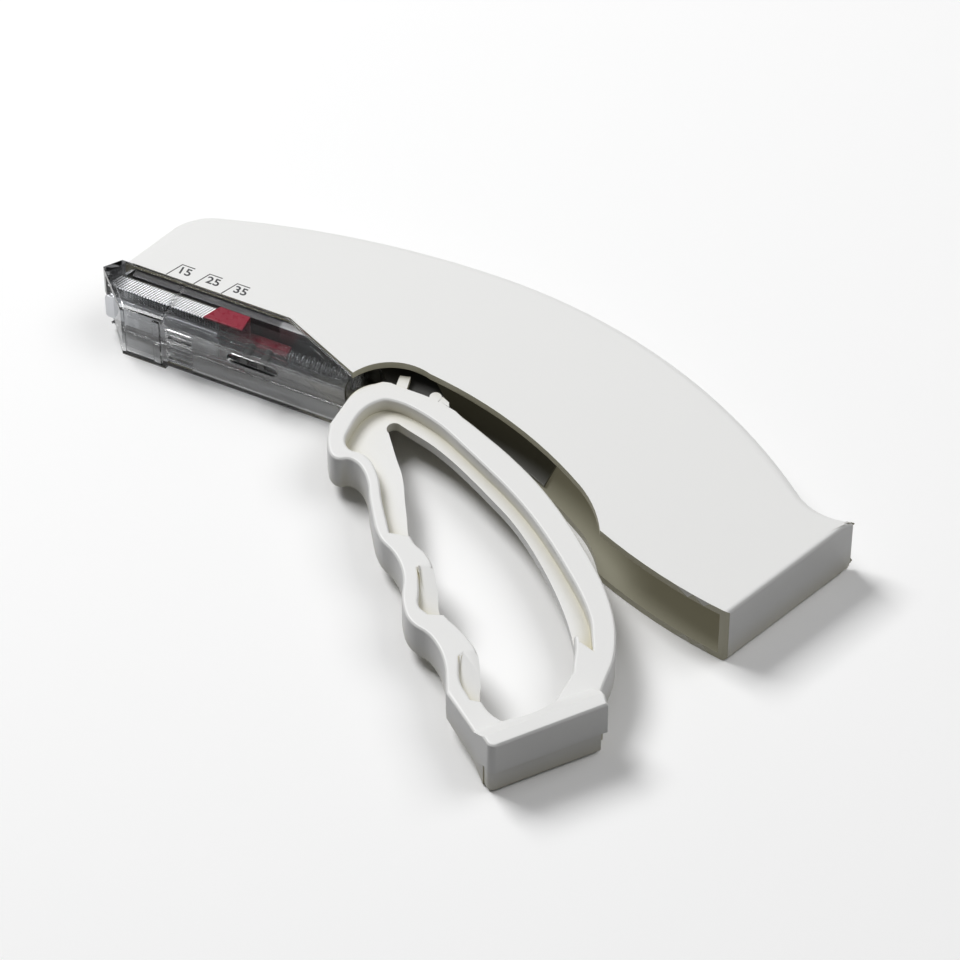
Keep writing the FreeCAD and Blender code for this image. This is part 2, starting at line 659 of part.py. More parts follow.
def make_trigger():
    """White loop lever: a rim of full width on a thin middle web, ridges at the fingers, a wide foot."""
    half = trigger_width / 2
    foot_half = foot_width / 2
    face = math.hypot(heel[0] - toe[0], heel[1] - toe[1])
    body = plate(trigger_outline(), -foot_half, foot_half)
    # Both sides slope from the wide foot to the narrower grip and arc.
    near, far = along_foot(face / 2, foot_depth), along_foot(face / 2, foot_flare)
    body = body.cut(both_sides(slope(near, far, half, foot_half, 150.0)))
    # Lower part of the foot, set in on three sides.
    split = foot_half - foot_split
    band = polygon([along_foot(s, w) for s, w in ((-6, -6), (face + 6, -6), (face + 6, foot_depth),
                                                  (-6, foot_depth))])
    core = polygon([along_foot(s, w) for s, w in ((foot_step, foot_step), (face - foot_step, foot_step),
                                                  (face - foot_step, 9), (foot_step, 9))])
    body = body.cut(plate(band, -foot_half - 1, split).cut(plate(core, -foot_half - 2, split + 1)))
    # The wide part stays below the housing's rim at full squeeze.
    rim_ends = [swung_back(point) for point in (rim_low, tail_bottom)]
    drop = 1.9
    over = [(x, y - drop) for x, y in rim_ends]
    reach = [(over[1][0] + 9, over[1][1] - 5.1), (over[1][0] + 9, over[1][1] + 60), (over[0][0], over[0][1] + 60)]
    body = body.cut(both_sides(plate(polygon(over + reach), half, foot_half + 1)))
    loop = loop_outline()
    body = body.cut(plate(loop, -foot_half - 1, foot_half + 1))
    # Pockets on both faces leave the web. Those at the fingers start with a slope.
    rim = inset(arc_path, -arc_flange)[1:-1]
    grip = inset(grip_path, -grip_flange)
    floor = web / 2
    main = pocket([grip[7], grip[8], grip[9]] + knuckle_pocket + rim, behind_nose((62.0, -36.0), (40.0, -26.0)))
    body = body.cut(both_sides(plate(main, floor, foot_half + 1)))
    for path, side in ((middle_pocket, middle_side), (low_pocket, low_side)):
        ramp = slope(path[0], path[-1], floor, half + 0.6)
        body = body.cut(both_sides(plate(pocket(path, side), floor, foot_half + 1).common(ramp)))
    # Guide posts and a small bump on the knuckle's back, and the slot that holds the lever.
    post = behind_nose((8.8, 5.6), (8.2, 9.6), (10.4, 10.2), (11.2, 6.0))
    body = body.fuse(both_sides(plate(polygon(post), lever_thick / 2 + 0.3, half - 0.2)))
    (x, y), *ledge = behind_nose((17.5, 7.2), (18.5, 5.0), (18.8, 7.9), (20.6, 7.0), (21.4, 5.2))
    body = body.fuse([pin(x, y, 1.3, -half, half), plate(polygon(ledge), -half, half)])
    slot = plate(polygon(behind_nose((7.5, 3.1), (20.5, 3.1), (22.5, 12.0), (5.0, 12.0), (5.3, 8.5))),
                 -lever_thick / 2 - seam, lever_thick / 2 + seam)
    body = body.cut(slot)
    for x, y in lever_pin_places():
        body = body.cut(pin(x, y, 0.8, -lever_thick / 2 - 1.5, lever_thick / 2 + 1.5))
    return body


def make_link_pin():
    x, y = link_place()
    return pin(x, y, link_radius, -fork_width / 2, fork_width / 2)


def make_pusher():
    """Red saddle behind the staples: it leans as they do and has a tail in the rail's channel."""
    half = staple_width / 2
    low = leg_tip
    high = crown_height + wire / 2
    front = [(pusher_front + plane_x(y), y) for y in (low, high)]
    outline = front + [(front[1][0] + pusher_length, high), (front[1][0] + pusher_length, low)]
    saddle = slab(outline, half)
    saddle = saddle.cut(block(-5, rail_length + 5, 0, rail_top + slide_gap, -rail_half - slide_gap,
                              rail_half + slide_gap))
    tongue_half = spring_channel / 2 - slide_gap
    tongue = block(channel_front + pusher_travel + slide_gap, front[1][0] + pusher_length + pusher_tail,
                   rail_top - spring_channel_depth + slide_gap, rail_top + slide_gap + 0.1,
                   -tongue_half, tongue_half)
    return saddle.fuse(tongue)


def make_feed_spring():
    """Coil between the pusher's tail and the end of the rail's channel."""
    start = pusher_front + plane_x(crown_height + wire / 2) + pusher_length + pusher_tail + seam
    end = rail_length - 1.5 - seam
    spring = coil(feed_coil / 2, feed_wire, end - start, feed_turns)
    spring.rotate(at(0, 0, 0), at(0, 1, 0), 90)
    spring.translate(at(start, rail_top - spring_channel_depth + feed_coil / 2 + seam, 0))
    return spring


def make_return_spring():
    """Coil between the lever's seat and the post in the housing's back."""
    start = 20.4 + seam
    spring = coil(return_coil / 2, return_wire, spring_ceiling - seam - start, return_turns)
    spring.rotate(at(0, 0, 0), at(1, 0, 0), -90)
    spring.translate(at(return_x, start, 0))
    return spring


left_cover, right_cover = make_covers()
left_frame = make_frame()
nodes = {
    "housing": make_housing(),
    "nose_cover_left": left_cover,
    "nose_cover_right": right_cover,
    "magazine_base": make_base(),
    "base_pegs": make_pegs(),
    "anvil": make_anvil(),
    "staple_rail": make_rail(),
    "track_cover": make_track_cover(),
    "frame_left": left_frame,
    "frame_right": mirrored(left_frame),
    "frame_rivets": make_rivets(),
    "pivot_pin": pin(pivot[0], pivot[1], pivot_radius, -frame_outside, frame_outside),
    "staples": Part.Compound([staple_at(k * pitch) for k in range(1, staple_count)]),
    "front_staple": staple_at(0.0),
    "ram": make_ram(),
    "ram_carrier": make_carrier(),
    "carrier_rivets": make_carrier_rivets(),
    "link_pin": make_link_pin(),
    "drive_lever": make_lever(),
    "lever_pins": make_lever_pins(),
    "trigger": make_trigger(),
    "pusher": make_pusher(),
    "feed_spring": make_feed_spring(),
    "return_spring": make_return_spring(),
}

box = nodes["housing"].optimalBoundingBox()
for shape in nodes.values():
    box.add(shape.optimalBoundingBox())
shift = at(-box.Center.x, -box.Center.y, housing_half)
os.makedirs("parts", exist_ok=True)
triangles = 0
for name, shape in nodes.items():
    shape.translate(shift)
    shape.exportStep("parts/" + name + ".step")
    count = shape.tessellate(0.1)[1]
    triangles += len(count)
    print(name, len(shape.Solids), "solids", round(shape.Volume, 1), "mm3", len(count), "facets",
          "" if shape.isValid() else "INVALID")
link = link_place()
print("facets", triangles)
print("size", round(box.XLength, 2), round(box.YLength, 2), round(box.ZLength, 2))
print("shift", round(shift.x, 3), round(shift.y, 3), round(shift.z, 3))
print("pivot", round(pivot[0] + shift.x, 3), round(pivot[1] + shift.y, 3))
print("link pin", round(link[0] + shift.x, 3), round(link[1] + shift.y, 3))
print("ram axis", round(-along[0], 6), round(-along[1], 6))
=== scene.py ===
# %% [markdown]
# # A skin stapler
#
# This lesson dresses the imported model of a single-use skin stapler. The rigid pieces come from the
# CAD model and keep their sizes. Here they get softened edges, plastics and steels, round wire for
# the staples and springs, the printed count marks, and a plain studio.

import json
import math

import bmesh
import bpy
from mathutils import Matrix, Vector


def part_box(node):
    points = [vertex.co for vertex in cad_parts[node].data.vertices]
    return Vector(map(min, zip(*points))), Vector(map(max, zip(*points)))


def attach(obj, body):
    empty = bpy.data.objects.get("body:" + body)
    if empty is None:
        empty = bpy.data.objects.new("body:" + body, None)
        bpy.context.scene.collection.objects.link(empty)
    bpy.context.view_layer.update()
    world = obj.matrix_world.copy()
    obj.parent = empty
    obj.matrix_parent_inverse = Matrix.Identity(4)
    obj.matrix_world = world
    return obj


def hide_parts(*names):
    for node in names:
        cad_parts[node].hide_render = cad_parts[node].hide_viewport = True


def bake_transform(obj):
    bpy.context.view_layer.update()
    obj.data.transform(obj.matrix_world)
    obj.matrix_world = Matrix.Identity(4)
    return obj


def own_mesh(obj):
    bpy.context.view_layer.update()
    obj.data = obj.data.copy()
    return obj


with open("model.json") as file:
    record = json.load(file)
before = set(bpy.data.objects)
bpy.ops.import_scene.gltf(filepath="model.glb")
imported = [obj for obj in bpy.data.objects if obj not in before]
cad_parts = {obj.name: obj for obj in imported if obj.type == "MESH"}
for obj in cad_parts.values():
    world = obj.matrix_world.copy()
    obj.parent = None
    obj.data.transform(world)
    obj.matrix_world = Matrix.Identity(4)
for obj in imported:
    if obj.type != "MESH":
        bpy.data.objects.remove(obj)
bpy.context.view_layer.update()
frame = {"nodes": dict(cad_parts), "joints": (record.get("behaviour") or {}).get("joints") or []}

# %% [markdown]
# ## Places on the stapler
#
# All places are written in millimetres as they lie on the staple track: x runs back from the crown
# of the staple in the chamber, y runs up from the underside of the nose, and z is measured from the
# plane between the two halves. The trigger's pivot is known in both systems, so it ties this
# drawing to the model's own metres.

# %% One helper for all places
MM = 0.001
PIVOT_ON_TRACK = (34.2, 17.65)
CROWN_HEIGHT = 9.25
HALF_HOUSING = 8.0

hinge = next(j for j in frame["joints"] if j["name"] == "trigger_squeeze")
track_origin = Vector(hinge["pos_m"]) - Vector((*PIVOT_ON_TRACK, 0)) * MM


def at(x, y, z=0.0):
    """A place on the track, in the model's metres."""
    return track_origin + Vector((x, y, z)) * MM


print("start of the track:", [round(value, 4) for value in track_origin], "m")

# %% [markdown]
# ## Sizes of a staple
#
# The wire, the width and the legs are those of a wide skin staple. The row leans, and neighbouring
# wires nearly touch, so the step from staple to staple along the track follows from the lean.

# %% Staple and step
STAPLE_COUNT = 35
WIRE = 0.58
WIRE_GAP = 0.02
STAPLE_WIDTH = 12.6
LEG_LENGTH = 4.4
STAPLE_LEAN = math.radians(64)
ALONG_LEG = Vector((math.cos(STAPLE_LEAN), math.sin(STAPLE_LEAN), 0))
PITCH = (WIRE + WIRE_GAP) / math.sin(STAPLE_LEAN) - WIRE_GAP
print("staple pitch:", round(PITCH, 4), "mm")

# %% [markdown]
# ## Writing materials as sums
#
# Shader nodes are easier to read as arithmetic. The class below wraps an output socket, so that
# `mask * 0.4 + 0.1` builds two Math nodes. Every other node is made by the one method `node`. The Mix
# node has a pair of sockets called A and B for each kind of value, so its colours go by number.


# %% Sockets that can be added and multiplied
class Value:
    """An output socket that understands +, -, * and **."""

    def __init__(self, paint, socket):
        self.paint = paint
        self.socket = socket

    def _math(self, operation, first, second):
        return self.paint.node("ShaderNodeMath", {"operation": operation}, {0: first, 1: second})["Value"]

    def __add__(self, other):
        return self._math("ADD", self, other)

    def __sub__(self, other):
        return self._math("SUBTRACT", self, other)

    def __mul__(self, other):
        return self._math("MULTIPLY", self, other)

    def __pow__(self, other):
        return self._math("POWER", self, other)

    def __rsub__(self, other):
        return self._math("SUBTRACT", other, self)

    __radd__ = __add__
    __rmul__ = __mul__


# %% A material that is being mixed
MIX_COLORS = (6, 7)


class Paint:
    """A material and its nodes."""

    def __init__(self, name):
        self.material = bpy.data.materials.new(name)
        self.material.use_nodes = True
        self.tree = self.material.node_tree
        self.tree.nodes.clear()

    def node(self, kind, settings=None, inputs=None):
        """A new node. Its settings are set first, then its sockets. Returns its outputs by name."""
        made = self.tree.nodes.new(kind)
        for name, value in (settings or {}).items():
            setattr(made, name, value)
        for name, value in (inputs or {}).items():
            if isinstance(value, Value):
                self.tree.links.new(value.socket, made.inputs[name])
            else:
                made.inputs[name].default_value = value
        return {socket.name: Value(self, socket) for socket in made.outputs if socket.enabled}

    def place(self):
        """The place on the piece, in metres."""
        return self.node("ShaderNodeTexCoord")["Object"]

    def noise(self, scale, detail, stretch=(1, 1, 1)):
        """Fine noise that sticks to the piece, from 0 to 1."""
        mapping = {"Vector": self.place(), "Scale": stretch}
        stretched = self.node("ShaderNodeMapping", None, mapping)["Vector"]
        texture = {"Vector": stretched, "Scale": scale, "Detail": detail}
        return self.node("ShaderNodeTexNoise", None, texture)["Fac"]

    def along(self, start, end):
        """0 before one place on the track and 1 behind another, both in track millimetres."""
        x = self.node("ShaderNodeSeparateXYZ", None, {0: self.place()})["X"]
        limits = {"Value": x, "From Min": at(start, 0).x, "From Max": at(end, 0).x}
        return self.node("ShaderNodeMapRange", None, limits)["Result"]

    def blend(self, factor, first, second):
        """The first colour where the factor is 0, the second where it is 1."""
        inputs = {0: factor}
        for socket, color in zip(MIX_COLORS, (first, second)):
            inputs[socket] = color if isinstance(color, Value) else (*color, 1)
        return self.node("ShaderNodeMix", {"data_type": "RGBA"}, inputs)["Result"]

    def mixed(self, factor, first, second):
        """The first shader where the factor is 0, the second where it is 1."""
        return self.node("ShaderNodeMixShader", None, {0: factor, 1: first, 2: second})["Shader"]

    def principled(self, inputs):
        """A Principled shader, for a solid plastic, a metal or an ink."""
        return self.node("ShaderNodeBsdfPrincipled", None, inputs)["BSDF"]

    def finish(self, shader):
        """The material, with a shader as its surface."""
        self.node("ShaderNodeOutputMaterial", None, {"Surface": shader})
        print("material:", self.material.name, "nodes:", len(self.tree.nodes))
        return self.material


def uneven(noise, middle, swing):
    """A value that the noise moves up and down round its middle."""
    return noise * swing + (middle - swing / 2)


# %% [markdown]
# ## White moulded plastic
#
# The housing and trigger are a slightly warm white plastic. A moulded face is uneven over about a
# millimetre. The relief is too low to be seen as such, but it spreads the highlights, so it only
# drives a weak bump and a small change of roughness. Hollows get a painted warm olive-grey shade: an
# Ambient Occlusion node finds the hollows and mixes that second colour in. The inside of the housing
# gets a face attribute called hollow: there a darker painted olive shade is laid on, with a faint
# painted glow from a weak emission that stands for light coming through the thin wall.

# %% Plastics
GRAIN_SIZE = 1.2 * MM
GRAIN_DETAIL = 3.0
GRAIN_RELIEF = 0.04
GRAIN_DEPTH = 0.02 * MM
PLASTIC_SWING = 0.08
# Painted shade: hollows that Ambient Occlusion finds get a warm olive grey mixed into the white.
HOLLOW_REACH = 12 * MM
HOLLOW_SAMPLES = 8
OPEN_GAIN = 1.9
OPEN_SHIFT = 0.6
# Painted shade for the housing's inside, and a faint painted glow that stands for light through the thin
# wall.
PAINTED_INSIDE_SHADE = (0.24, 0.235, 0.185)
PAINTED_WALL_GLOW = (0.064, 0.059, 0.041)


def painted_shade_colors(paint, color, painted_hollow_shade):
    """The colours of a plastic with painted olive shade in its hollows, and painted shade and glow inside
    the housing.
    """
    look_round = {"samples": HOLLOW_SAMPLES}
    open_sky = paint.node("ShaderNodeAmbientOcclusion", look_round, {"Distance": HOLLOW_REACH})["AO"]
    # Painted shade: the olive grey is mixed in where Ambient Occlusion finds a hollow.
    outside = paint.blend(open_sky * OPEN_GAIN - OPEN_SHIFT, painted_hollow_shade, color)
    # Painted shade and painted glow go on the faces that the hollow attribute marks as the housing's
    # inside.
    hollow = paint.node("ShaderNodeAttribute", {"attribute_name": "hollow"})["Fac"]
    return {
        "Base Color": paint.blend(hollow, outside, PAINTED_INSIDE_SHADE),
        "Emission Color": paint.blend(hollow, (0, 0, 0), PAINTED_WALL_GLOW),
        "Emission Strength": 1.0,
    }


def make_plastic(name, color, roughness, painted_hollow_shade=None):
    paint = Paint(name)
    inputs = {"Base Color": (*color, 1)}
    if painted_hollow_shade:
        inputs = painted_shade_colors(paint, color, painted_hollow_shade)
    grain = paint.noise(1 / GRAIN_SIZE, GRAIN_DETAIL)
    relief = {"Strength": GRAIN_RELIEF, "Distance": GRAIN_DEPTH, "Height": grain}
    inputs["Normal"] = paint.node("ShaderNodeBump", None, relief)["Normal"]
    inputs["Roughness"] = uneven(grain, roughness, PLASTIC_SWING)
    return paint.finish(paint.principled(inputs))


# The white plastic gets painted olive shade in its hollows.
white_plastic = make_plastic("white_plastic", (0.81, 0.81, 0.80), 0.42, (0.66, 0.625, 0.48))
dark_plastic = make_plastic("dark_plastic", (0.05, 0.05, 0.047), 0.42)
red_plastic = make_plastic("red_plastic", (0.27, 0.014, 0.034), 0.28)

# %% [markdown]
# ## Clear plastic of the nose
#
# The two halves of the nose are thick clear mouldings, and much of their look is bent and repeated
# light: doubled staples, bright edges and dark seams. So they get a refracting plastic. Its solid
# front head is smokier than the walls behind it. Lamplight and light from matt surfaces are let
# straight through, because bent light from lamps would take far too many samples.

# %% Refracting plastic
HEAD_ENDS = (-1.5, 3.0)
NOSE_TINT = (0.95, 0.953, 0.955)
HEAD_TINT = (0.17, 0.172, 0.177)
NOSE_SHADE = (0.95, 0.95, 0.95, 1)


def make_bending_plastic(name):
    paint = Paint(name)
    smoke = paint.blend(paint.along(*HEAD_ENDS), HEAD_TINT, NOSE_TINT)
    bending = {"Base Color": smoke, "Transmission Weight": 1.0, "IOR": 1.42, "Roughness": 0.02}
    bends = paint.principled(bending)
    straight = paint.node("ShaderNodeBsdfTransparent", None, {"Color": NOSE_SHADE})["BSDF"]
    rays = paint.node("ShaderNodeLightPath")
    matt = rays["Is Shadow Ray"] + rays["Is Diffuse Ray"]
    return paint.finish(paint.mixed(matt, bends, straight))


clear_plastic = make_bending_plastic("clear_plastic")

# %% [markdown]
# ## Clear plastic inside the nose
#
# The tray and the rail are clear too, but refraction within refraction takes many samples and tells
# nothing more. So they only tint what is behind them, with a breath of haze, and mirror more towards
# a low angle, by Schlick's rule.

# %% Tinting plastic
INNER_TINT = (0.86, 0.865, 0.87, 1)
HAZE = 0.02
HAZE_COLOR = (0.62, 0.63, 0.65, 1)
SQUARE_ON = 0.04
SCHLICK_POWER = 5.0


def make_clear_plastic(name):
    paint = Paint(name)
    through = paint.node("ShaderNodeBsdfTransparent", None, {"Color": INNER_TINT})["BSDF"]
    milk = paint.principled({"Base Color": HAZE_COLOR, "Roughness": 0.3})
    body = paint.mixed(HAZE, through, milk)
    shine = {"Color": (1, 1, 1, 1), "Roughness": 0.04}
    mirror = paint.node("ShaderNodeBsdfAnisotropic", None, shine)["BSDF"]
    slant = paint.node("ShaderNodeLayerWeight", None, {"Blend": 0.5})["Facing"]
    mirrored = slant**SCHLICK_POWER * (1 - SQUARE_ON) + SQUARE_ON
    return paint.finish(paint.mixed(mirrored, body, mirror))


clear_inside = make_clear_plastic("clear_inside")

# %% [markdown]
# ## Steel
#
# The frame, ram, anvil and track cover are stamped from rolled strip. Rolling leaves fine lines
# along the strip, so the roughness is a noise that is stretched along x. Drawn wire is smoother. The
# dark channel over the staples ends in a paler part, which shows behind the pusher.

# %% Steels
ROLLED = (1, 14, 14)
DRAWN = (1, 1, 1)
LINE_SCALE = 900.0
LINE_DETAIL = 2.0
STEEL_SWING = 0.14
COVER_CHANGE = (36.0, 36.6)


def make_steel(name, color, roughness, lines=ROLLED, rear_color=None):
    paint = Paint(name)
    shown = (*color, 1)
    if rear_color:
        shown = paint.blend(paint.along(*COVER_CHANGE), color, rear_color)
    rough = uneven(paint.noise(LINE_SCALE, LINE_DETAIL, lines), roughness, STEEL_SWING)
    return paint.finish(paint.principled({"Base Color": shown, "Metallic": 1.0, "Roughness": rough}))


strip_steel = make_steel("strip_steel", (0.58, 0.59, 0.61), 0.3)
dark_steel = make_steel("dark_steel", (0.075, 0.075, 0.077), 0.38, rear_color=(0.26, 0.26, 0.265))
plate_steel = make_steel("plate_steel", (0.30, 0.30, 0.29), 0.5)
staple_wire = make_steel("staple_wire", (0.80, 0.81, 0.82), 0.13, DRAWN)
spring_steel = make_steel("spring_steel", (0.50, 0.51, 0.53), 0.26, DRAWN)

# %% [markdown]
# ## Printing ink
#
# The count marks are pad-printed in a matt, nearly black ink. It is a thin even film, so one plain
# colour is enough.


# %% Ink
def make_ink(name, color):
    paint = Paint(name)
    return paint.finish(paint.principled({"Base Color": (*color, 1), "Roughness": 0.55}))


mark_ink = make_ink("mark_ink", (0.045, 0.045, 0.05))

# %% [markdown]
# ## Softened edges
#
# A CAD solid ends in knife edges, while a moulded piece never does. Each rigid piece is copied, its
# loose triangles are merged into one skin, and a Bevel modifier rounds every edge sharper than an
# angle. Smooth shading would then bend the light on the large flat faces beside the narrow
# roundings, so a Weighted Normal modifier lets the large faces decide: they stay flat and only the
# roundings turn. The result replaces the CAD node in the render and keeps its place.


# %% Helpers for finished pieces
def link(name, data):
    """A new object in the scene, at the origin."""
    obj = bpy.data.objects.new(name, data)
    bpy.context.scene.collection.objects.link(obj)
    return obj


def plain_mesh(name, obj):
    """The evaluated object as a new object with one plain mesh, at the origin."""
    seen = bpy.context.evaluated_depsgraph_get()
    mesh = bpy.data.meshes.new_from_object(obj.evaluated_get(seen))
    bpy.data.objects.remove(obj)
    return link(name, mesh)


def coat(obj, material):
    """Gives a piece one material."""
    obj.data.materials.clear()
    obj.data.materials.append(material)


def give(obj, material, body, slot, *nodes):
    """Puts a finished piece on its body with its material and hides the CAD nodes it stands for; the slot
    is not used.
    """
    coat(obj, material)
    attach(obj, body)
    if nodes:
        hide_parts(*nodes)
    return obj


# %% Copy, merge and round a CAD piece
SAME_PLACE = 0.002 * MM
SAME_PLANE = math.radians(1.0)
ROUNDED_ABOVE = math.radians(28.0)
SMOOTH_BELOW = math.radians(35.0)
BEVEL_STEPS = 2
LARGE_FACES_WIN = 100


def merged(mesh, dissolve):
    """The CAD mesh as one skin, with its flat faces whole where they may be dissolved."""
    shape = bmesh.new()
    shape.from_mesh(mesh)
    bmesh.ops.remove_doubles(shape, verts=shape.verts, dist=SAME_PLACE)
    if dissolve:
        bmesh.ops.dissolve_limit(
            shape, angle_limit=SAME_PLANE, verts=shape.verts, edges=shape.edges, delimit={"NORMAL"}
        )
    return shape


def rounded_copy(name, node, width_mm, dissolve=True, shaping=None):
    """A CAD node's mesh with merged corners and rounded edges."""
    mesh = frame["nodes"][node].data.copy()
    shape = merged(mesh, dissolve)
    if shaping:
        shaping(shape)
    shape.to_mesh(mesh)
    shape.free()
    rough = link(name + "_rough", mesh)
    bevel = rough.modifiers.new("rounded", "BEVEL")
    bevel.width = width_mm * MM
    bevel.segments = BEVEL_STEPS
    bevel.limit_method = "ANGLE"
    bevel.angle_limit = ROUNDED_ABOVE
    bevel.miter_outer = "MITER_ARC"
    made = plain_mesh(name, rough)
    made.data.shade_smooth()
    made.data.set_sharp_from_angle(angle=SMOOTH_BELOW)
    weighted = made.modifiers.new("flat faces stay flat", "WEIGHTED_NORMAL")
    weighted.keep_sharp = True
    weighted.weight = LARGE_FACES_WIN
    return plain_mesh(name, made)


# %% [markdown]
# ## Wide roundings
#
# The housing and the trigger have wider roundings where a hand touches them: round the end of the
# tail and along the rims of the loop. One width for all edges would be held back by the smallest
# step of the piece, so the wide roundings are cut first, on edges picked by their place.

# %% Places on a mesh, and edges picked by place
SHARP_EDGE = math.radians(50)


def on_track(point):
    """A point of a mesh as (x, y, z) in track millimetres."""
    return (point - track_origin) / MM


def middle_of(edge):
    """The middle of an edge, in the model's metres."""
    return (edge.verts[0].co + edge.verts[1].co) / 2


def round_edges(shape, chosen, width_mm, segments=4):
    """Rounds the sharp edges that a test picks."""
    edges = [e for e in shape.edges if e.calc_face_angle(0) > SHARP_EDGE and chosen(e)]
    bmesh.ops.bevel(
        shape,
        geom=edges,
        offset=width_mm * MM,
        offset_type="OFFSET",
        segments=segments,
        profile=0.5,
        affect="EDGES",
        clamp_overlap=False,
    )
    print("rounded", len(edges), "edges at", width_mm, "mm")


# %% [markdown]
# ## Housing
#
# The housing is one curved shell, open along its underside. Its tail ends in a flat slanting face,
# whose edges are the ones a palm meets.

# %% The housing's rounded tail
TAIL_FROM = 150
TAIL_FACES_BACK = 0.75
TAIL_ROUNDING = 1.1
FINE_ROUNDING = 0.35


def at_the_end(edge):
    """Whether the edge belongs to the flat face that closes the tail."""
    return any(
        face.normal.x > TAIL_FACES_BACK and on_track(face.calc_center_median()).x > TAIL_FROM
        for face in edge.link_faces
    )


def shape_housing(shape):
    round_edges(shape, at_the_end, TAIL_ROUNDING)


shell = rounded_copy("housing_shell", "housing", FINE_ROUNDING, shaping=shape_housing)
housing = give(shell, white_plastic, "housing_body", "white_plastic", "housing")
print("housing faces:", len(housing.data.polygons))

# %% [markdown]
# ## The housing's hollow
#
# The inside of the shell gets a painted olive-grey shade with a faint painted glow, its lower rims
# about a third of both, and the outside none. The share is written on each face as an attribute,
# which the white plastic reads. Inner faces are found by rule: they lie within the side walls and don't
# face outwards.

# %% Share of the hollow's shade on each face
WALL_INSIDE = 7.3
RIM_OUTSIDE = 7.7
RIM_SHARE = 0.35
NOSE_END = 3.0
TURNED_AWAY = 0.2
STEEPLY_DOWN = -0.75
TURNED_IN = -0.5
TURNED_UP = 0.3


def hollow_share(face):
    """1 on the inside of the housing, a third on its lower rims, 0 on the outside."""
    x, _, z = on_track(face.center)
    normal = face.normal
    outward = normal.z * math.copysign(1, z)
    tail_end = x > TAIL_FROM and normal.x > TURNED_AWAY and normal.y > STEEPLY_DOWN
    if x < NOSE_END or tail_end or abs(z) > RIM_OUTSIDE or outward > TURNED_AWAY:
        return 0.0
    if abs(z) > WALL_INSIDE:
        return RIM_SHARE if normal.y < TURNED_AWAY else 0.0
    return 1.0 if outward < TURNED_IN or normal.y < TURNED_UP else 0.0


# Shares of the painted inside shade and glow, one per face.
shares = [hollow_share(face) for face in housing.data.polygons]
housing.data.attributes.new("hollow", "FLOAT", "FACE").data.foreach_set("value", shares)
print("faces of the hollow:", shares.count(1.0), "and of its rims:", shares.count(RIM_SHARE))

# %% [markdown]
# ## The trigger's foot
#
# The lower half of the foot is set in a little, which shows as a step on its heel. At the toe and
# along the front the real step has nearly run out, and the toe's lower corner is round. The copy's
# lower half is let out to the upper outline there, and its corner is rounded with the rest.

# %% Let out the lower half of the foot
TOE = Vector((122.5, -72.6))
HEEL = Vector((139.2, -53.0))
ALONG_FOOT = (HEEL - TOE).normalized()
INTO_FOOT = Vector((-ALONG_FOOT.y, ALONG_FOOT.x))
FOOT_DEPTH = 9.2
FOOT_SPLIT = -1.4
FOOT_STEP = 1.2
LEFT_AT_TOE = 0.06
LEFT_AT_FRONT = 0.35
CLOSE = 0.05


def foot_place(point):
    """How far a point lies from the toe along the foot's face, and how far in from the face."""
    from_toe = on_track(point).xy - TOE
    return from_toe.dot(ALONG_FOOT), from_toe.dot(INTO_FOOT)


def let_out_foot(shape):
    """Moves the walls of the foot's lower half out, at the toe and along the front."""
    for vert in shape.verts:
        along, inward = foot_place(vert.co)
        if on_track(vert.co).z < FOOT_SPLIT + CLOSE and inward < FOOT_DEPTH:
            move = Vector((0, 0))
            if abs(along - FOOT_STEP) < CLOSE:
                move -= ALONG_FOOT * (FOOT_STEP - LEFT_AT_TOE)
            if abs(inward - FOOT_STEP) < CLOSE:
                move -= INTO_FOOT * (FOOT_STEP - LEFT_AT_FRONT)
            vert.co += move.to_3d() * MM


def toe_corner(edge):
    """Whether the edge is the upright one at the toe of the foot's lower half."""
    along, inward = foot_place(middle_of(edge))
    return abs(along - LEFT_AT_TOE) < 2 * CLOSE and abs(inward - LEFT_AT_FRONT) < 2 * CLOSE


# %% [markdown]
# ## The trigger's long arc
#
# The back of the long arc swells out a little more than the CAD outline between the small steps near
# the knuckle and the foot. The swell is a short table that is read between its places, and it moves
# only the points of the outer wall.

# %% Swell the arc's back
ARC_LINE = (
    (63.4, 6.8),
    (76.0, 6.0),
    (88.0, 0.9),
    (104.0, -7.6),
    (117.2, -17.4),
    (128.8, -28.5),
    (134.2, -38.0),
)
ARC_SWELL = ((76.0, 0.0), (84.0, 0.8), (92.0, 1.4), (100.0, 1.5), (110.0, 1.3), (122.0, 1.0), (134.0, 0.0))
WALL_DEPTH = 1.0


def read_between(table, x):
    """The table's value at x, or None outside it."""
    for (x0, y0), (x1, y1) in zip(table, table[1:]):
        if x0 <= x <= x1:
            share = (x - x0) / (x1 - x0)
            return y0 * (1 - share) + y1 * share
    return None


def swell_arc(shape):
    """Moves the points of the arc's outer wall out by the swell at their place."""
    for vert in shape.verts:
        x, y, _ = on_track(vert.co)
        amount = read_between(ARC_SWELL, x)
        if amount and y > read_between(ARC_LINE, x) - WALL_DEPTH:
            out = Vector((vert.normal.x, vert.normal.y, 0)).normalized()
            vert.co += out * amount * MM


# %% [markdown]
# ## The trigger
#
# The rims of the loop are round where fingers close on it. The small steps near the knuckle are left
# out, because a wide rounding would eat them.

# %% Round the rims and finish the trigger
TOE_ROUNDING = 1.5
RIM_ROUNDING = 0.8
RIM_STEPS = 3
TOP_OF_GRIP = 4.5
FLAT_ON_TOP = 0.9
STEPS_FROM = 61.0
STEPS_TO = 79.5
STEPS_ABOVE = 3.2


